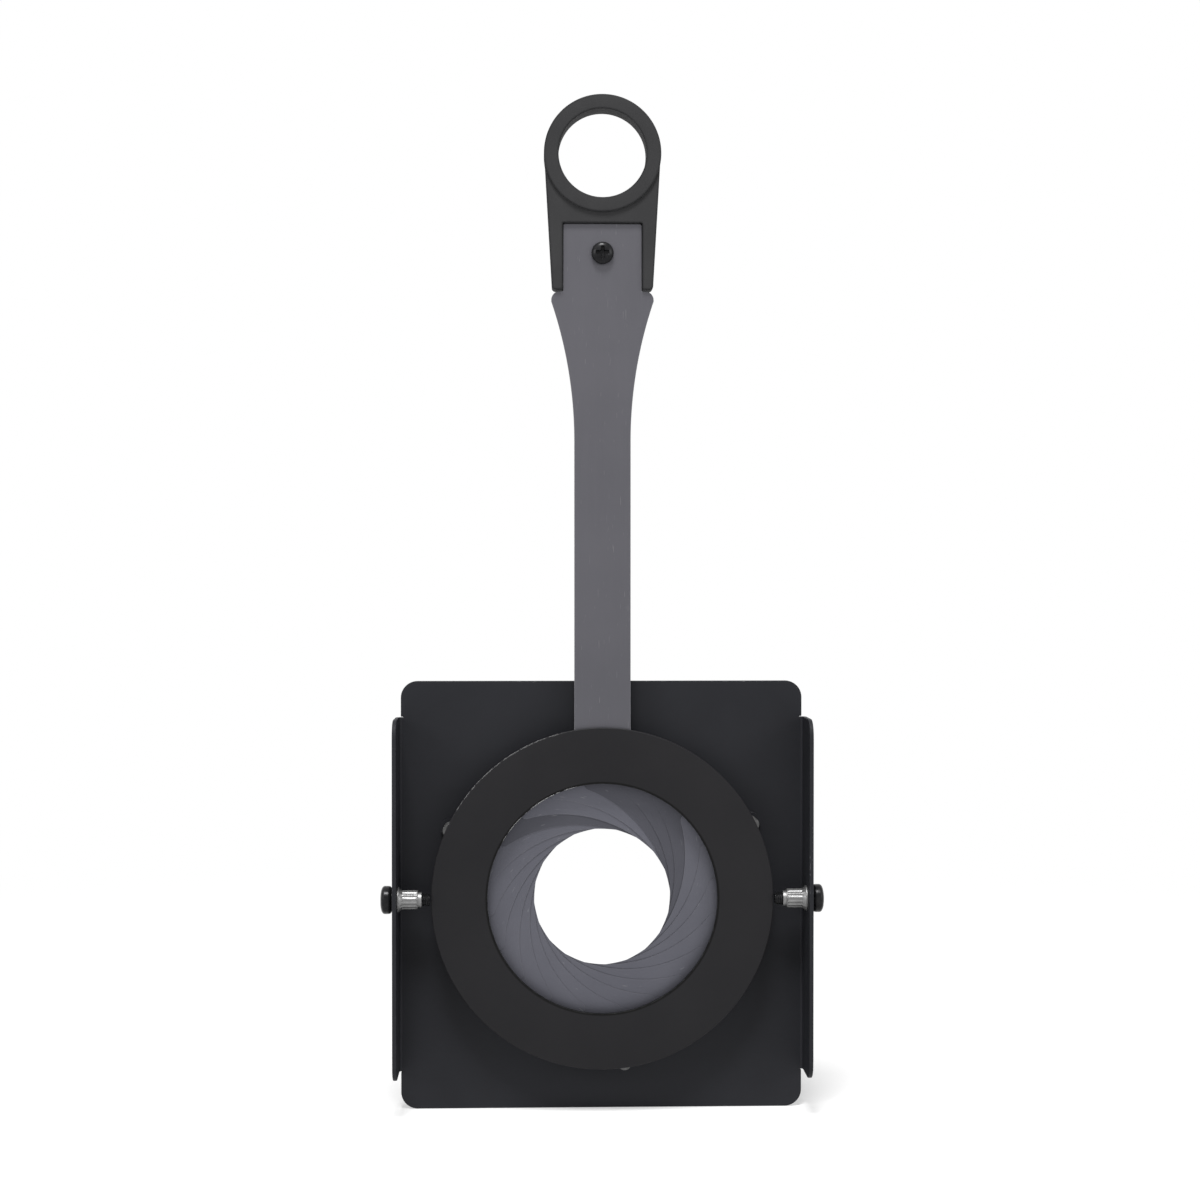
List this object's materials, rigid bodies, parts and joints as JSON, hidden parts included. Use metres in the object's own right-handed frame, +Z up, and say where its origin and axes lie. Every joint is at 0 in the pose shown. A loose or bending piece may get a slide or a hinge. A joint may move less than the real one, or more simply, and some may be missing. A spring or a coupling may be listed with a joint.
{
  "type": "iris diaphragm",
  "caption": "Drop-in iris diaphragm: a flanged black sheet-metal carrier with overlapping steel leaves behind a cover ring, opened and closed by a long hand lever with a ring handle.",
  "frame": {"origin": "where the optical axis crosses the rear face of the carrier plate, in the middle of the plate", "axes": "+Z up along the lever at rest, -Y forwards out of the front of the iris along the optical axis, +X to the right seen from the front"},
  "size_m": [0.1634, 0.0215, 0.3763],
  "materials": {
    "black_paint": "matte black powder coat",
    "leaf_steel": "dark rolled spring steel, satin, lightly scuffed",
    "lever_steel": "dark rolled sheet steel, satin",
    "bright_zinc": "bright zinc plate",
    "black_oxide": "black oxide, semi-gloss",
    "handle_plastic": "black moulded nylon, fine grain",
    "brass": "knurled brass"
  },
  "bodies": {
    "carrier": {"carrier_plate": "black_paint", "base_ring": "black_paint", "cover_ring": "black_paint", "cover_post_right": "bright_zinc", "cover_post_left": "bright_zinc", "cover_post_lower": "bright_zinc", "press_nut_left": "bright_zinc", "press_nut_right": "bright_zinc", "side_washer_left": "black_oxide", "side_washer_right": "black_oxide", "side_screw_left": "black_oxide", "side_screw_right": "black_oxide"},
    "lever": {"drive_ring": "leaf_steel", "control_lever": "lever_steel", "lever_rivets": "bright_zinc", "handle": "handle_plastic", "handle_insert": "brass", "handle_screw": "black_oxide"},
    "leaf_unit_01": {"leaf_01": "leaf_steel", "leaf_studs_01": "bright_zinc"},
    "leaf_unit_02": {"leaf_02": "leaf_steel", "leaf_studs_02": "bright_zinc"},
    "leaf_unit_03": {"leaf_03": "leaf_steel", "leaf_studs_03": "bright_zinc"},
    "leaf_unit_04": {"leaf_04": "leaf_steel", "leaf_studs_04": "bright_zinc"},
    "leaf_unit_05": {"leaf_05": "leaf_steel", "leaf_studs_05": "bright_zinc"},
    "leaf_unit_06": {"leaf_06": "leaf_steel", "leaf_studs_06": "bright_zinc"},
    "leaf_unit_07": {"leaf_07": "leaf_steel", "leaf_studs_07": "bright_zinc"},
    "leaf_unit_08": {"leaf_08": "leaf_steel", "leaf_studs_08": "bright_zinc"},
    "leaf_unit_09": {"leaf_09": "leaf_steel", "leaf_studs_09": "bright_zinc"},
    "leaf_unit_10": {"leaf_10": "leaf_steel", "leaf_studs_10": "bright_zinc"},
    "leaf_unit_11": {"leaf_11": "leaf_steel", "leaf_studs_11": "bright_zinc"},
    "leaf_unit_12": {"leaf_12": "leaf_steel", "leaf_studs_12": "bright_zinc"},
    "leaf_unit_13": {"leaf_13": "leaf_steel", "leaf_studs_13": "bright_zinc"},
    "leaf_unit_14": {"leaf_14": "leaf_steel", "leaf_studs_14": "bright_zinc"},
    "leaf_unit_15": {"leaf_15": "leaf_steel", "leaf_studs_15": "bright_zinc"},
    "leaf_unit_16": {"leaf_16": "leaf_steel", "leaf_studs_16": "bright_zinc"},
    "leaf_unit_17": {"leaf_17": "leaf_steel", "leaf_studs_17": "bright_zinc"},
    "leaf_unit_18": {"leaf_18": "leaf_steel", "leaf_studs_18": "bright_zinc"},
    "leaf_unit_19": {"leaf_19": "leaf_steel", "leaf_studs_19": "bright_zinc"},
    "leaf_unit_20": {"leaf_20": "leaf_steel", "leaf_studs_20": "bright_zinc"}
  },
  "joints": [
    {"name": "lever_swing", "type": "hinge", "parent": "carrier", "child": "lever", "pos_m": [0, 0, 0], "axis": [0, -1, 0], "range_deg": [-37.2, 37.2]},
    {"name": "leaf_turn_01", "type": "hinge", "parent": "carrier", "child": "leaf_unit_01", "pos_m": [0.05578, 0, 0.00156], "axis": [0, -1, 0], "range_deg": [-18.24, 18.24]},
    {"name": "leaf_turn_02", "type": "hinge", "parent": "carrier", "child": "leaf_unit_02", "pos_m": [0.05257, 0, 0.01872], "axis": [0, -1, 0], "range_deg": [-18.24, 18.24]},
    {"name": "leaf_turn_03", "type": "hinge", "parent": "carrier", "child": "leaf_unit_03", "pos_m": [0.04421, 0, 0.03405], "axis": [0, -1, 0], "range_deg": [-18.24, 18.24]},
    {"name": "leaf_turn_04", "type": "hinge", "parent": "carrier", "child": "leaf_unit_04", "pos_m": [0.03153, 0, 0.04604], "axis": [0, -1, 0], "range_deg": [-18.24, 18.24]},
    {"name": "leaf_turn_05", "type": "hinge", "parent": "carrier", "child": "leaf_unit_05", "pos_m": [0.01575, 0, 0.05353], "axis": [0, -1, 0], "range_deg": [-18.24, 18.24]},
    {"name": "leaf_turn_06", "type": "hinge", "parent": "carrier", "child": "leaf_unit_06", "pos_m": [-0.00156, 0, 0.05578], "axis": [0, -1, 0], "range_deg": [-18.24, 18.24]},
    {"name": "leaf_turn_07", "type": "hinge", "parent": "carrier", "child": "leaf_unit_07", "pos_m": [-0.01872, 0, 0.05257], "axis": [0, -1, 0], "range_deg": [-18.24, 18.24]},
    {"name": "leaf_turn_08", "type": "hinge", "parent": "carrier", "child": "leaf_unit_08", "pos_m": [-0.03405, 0, 0.04421], "axis": [0, -1, 0], "range_deg": [-18.24, 18.24]},
    {"name": "leaf_turn_09", "type": "hinge", "parent": "carrier", "child": "leaf_unit_09", "pos_m": [-0.04604, 0, 0.03153], "axis": [0, -1, 0], "range_deg": [-18.24, 18.24]},
    {"name": "leaf_turn_10", "type": "hinge", "parent": "carrier", "child": "leaf_unit_10", "pos_m": [-0.05353, 0, 0.01575], "axis": [0, -1, 0], "range_deg": [-18.24, 18.24]},
    {"name": "leaf_turn_11", "type": "hinge", "parent": "carrier", "child": "leaf_unit_11", "pos_m": [-0.05578, 0, -0.00156], "axis": [0, -1, 0], "range_deg": [-18.24, 18.24]},
    {"name": "leaf_turn_12", "type": "hinge", "parent": "carrier", "child": "leaf_unit_12", "pos_m": [-0.05257, 0, -0.01872], "axis": [0, -1, 0], "range_deg": [-18.24, 18.24]},
    {"name": "leaf_turn_13", "type": "hinge", "parent": "carrier", "child": "leaf_unit_13", "pos_m": [-0.04421, 0, -0.03405], "axis": [0, -1, 0], "range_deg": [-18.24, 18.24]},
    {"name": "leaf_turn_14", "type": "hinge", "parent": "carrier", "child": "leaf_unit_14", "pos_m": [-0.03153, 0, -0.04604], "axis": [0, -1, 0], "range_deg": [-18.24, 18.24]},
    {"name": "leaf_turn_15", "type": "hinge", "parent": "carrier", "child": "leaf_unit_15", "pos_m": [-0.01575, 0, -0.05353], "axis": [0, -1, 0], "range_deg": [-18.24, 18.24]},
    {"name": "leaf_turn_16", "type": "hinge", "parent": "carrier", "child": "leaf_unit_16", "pos_m": [0.00156, 0, -0.05578], "axis": [0, -1, 0], "range_deg": [-18.24, 18.24]},
    {"name": "leaf_turn_17", "type": "hinge", "parent": "carrier", "child": "leaf_unit_17", "pos_m": [0.01872, 0, -0.05257], "axis": [0, -1, 0], "range_deg": [-18.24, 18.24]},
    {"name": "leaf_turn_18", "type": "hinge", "parent": "carrier", "child": "leaf_unit_18", "pos_m": [0.03405, 0, -0.04421], "axis": [0, -1, 0], "range_deg": [-18.24, 18.24]},
    {"name": "leaf_turn_19", "type": "hinge", "parent": "carrier", "child": "leaf_unit_19", "pos_m": [0.04604, 0, -0.03153], "axis": [0, -1, 0], "range_deg": [-18.24, 18.24]},
    {"name": "leaf_turn_20", "type": "hinge", "parent": "carrier", "child": "leaf_unit_20", "pos_m": [0.05353, 0, -0.01575], "axis": [0, -1, 0], "range_deg": [-18.24, 18.24]}
  ],
  "couplings": [
    {"joint": "leaf_turn_01", "follows": "lever_swing", "ratio": 0.49},
    {"joint": "leaf_turn_02", "follows": "lever_swing", "ratio": 0.49},
    {"joint": "leaf_turn_03", "follows": "lever_swing", "ratio": 0.49},
    {"joint": "leaf_turn_04", "follows": "lever_swing", "ratio": 0.49},
    {"joint": "leaf_turn_05", "follows": "lever_swing", "ratio": 0.49},
    {"joint": "leaf_turn_06", "follows": "lever_swing", "ratio": 0.49},
    {"joint": "leaf_turn_07", "follows": "lever_swing", "ratio": 0.49},
    {"joint": "leaf_turn_08", "follows": "lever_swing", "ratio": 0.49},
    {"joint": "leaf_turn_09", "follows": "lever_swing", "ratio": 0.49},
    {"joint": "leaf_turn_10", "follows": "lever_swing", "ratio": 0.49},
    {"joint": "leaf_turn_11", "follows": "lever_swing", "ratio": 0.49},
    {"joint": "leaf_turn_12", "follows": "lever_swing", "ratio": 0.49},
    {"joint": "leaf_turn_13", "follows": "lever_swing", "ratio": 0.49},
    {"joint": "leaf_turn_14", "follows": "lever_swing", "ratio": 0.49},
    {"joint": "leaf_turn_15", "follows": "lever_swing", "ratio": 0.49},
    {"joint": "leaf_turn_16", "follows": "lever_swing", "ratio": 0.49},
    {"joint": "leaf_turn_17", "follows": "lever_swing", "ratio": 0.49},
    {"joint": "leaf_turn_18", "follows": "lever_swing", "ratio": 0.49},
    {"joint": "leaf_turn_19", "follows": "lever_swing", "ratio": 0.49},
    {"joint": "leaf_turn_20", "follows": "lever_swing", "ratio": 0.49}
  ]
}
